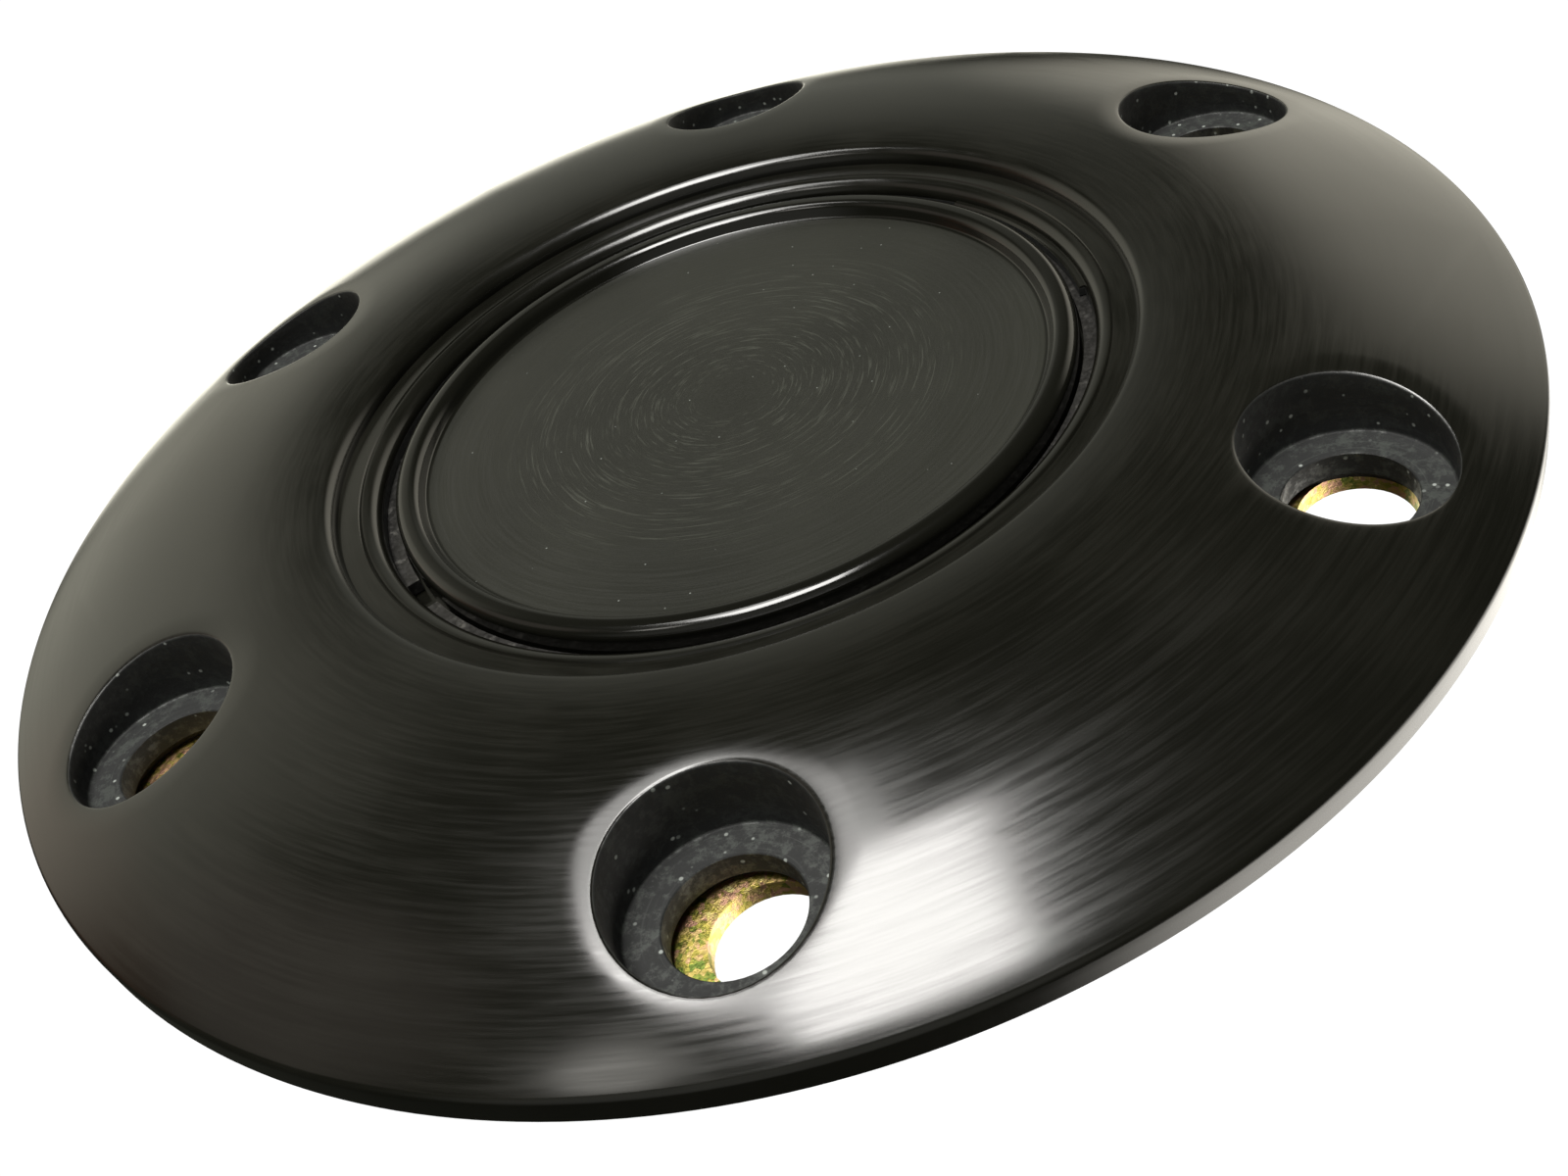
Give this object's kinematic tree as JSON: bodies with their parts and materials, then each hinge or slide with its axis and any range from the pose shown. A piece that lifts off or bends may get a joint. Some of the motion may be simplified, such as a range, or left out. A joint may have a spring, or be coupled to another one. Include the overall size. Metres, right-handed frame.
{
  "type": "steering wheel horn push",
  "caption": "Domed round horn push with a sprung centre button in a bolt-through trim ring on a pressed steel plate.",
  "frame": {"origin": "centre of the bolt circle, on the rear face of the base plate's flange", "axes": "+Z along the push axis towards the driver, -Y through the middle of one bolt hole of the trim ring"},
  "size_m": [0.0864, 0.0864, 0.0176],
  "materials": {
    "moulded_black": "satin, lapped",
    "fibre_black": "matt pressed fibre",
    "yellow_zinc": "yellow passivated zinc plate on pressed steel",
    "spring_steel": "blued spring steel",
    "screw_steel": "bright zinc plate",
    "brass": "rolled brass",
    "silver_contact": "fine silver contact rivet",
    "nylon": "natural nylon"
  },
  "bodies": {
    "housing": {"trim_ring": "moulded_black", "retaining_ring": "spring_steel", "insulating_gasket": "fibre_black", "base_plate": "yellow_zinc", "plate_screws": "screw_steel", "contact_insulator": "nylon", "fixed_contact": "brass", "contact_rivets": "brass", "rivet_bushes": "nylon", "live_terminal": "brass", "earth_terminal": "brass", "earth_rivet": "brass", "return_spring_1": "spring_steel", "return_spring_2": "spring_steel", "return_spring_3": "spring_steel"},
    "button": {"horn_button": "moulded_black", "contact_plate": "brass", "contact_plate_screws": "screw_steel", "lock_washers": "screw_steel", "contact_points": "silver_contact"}
  },
  "joints": [
    {"name": "button_push", "type": "slide", "parent": "housing", "child": "button", "axis": [0, 0, -1], "range_m": [0, 0.0015], "stiffness_N_per_m": 3600, "springref_m": -0.002, "deforming": ["return_spring_1", "return_spring_2", "return_spring_3"]}
  ]
}
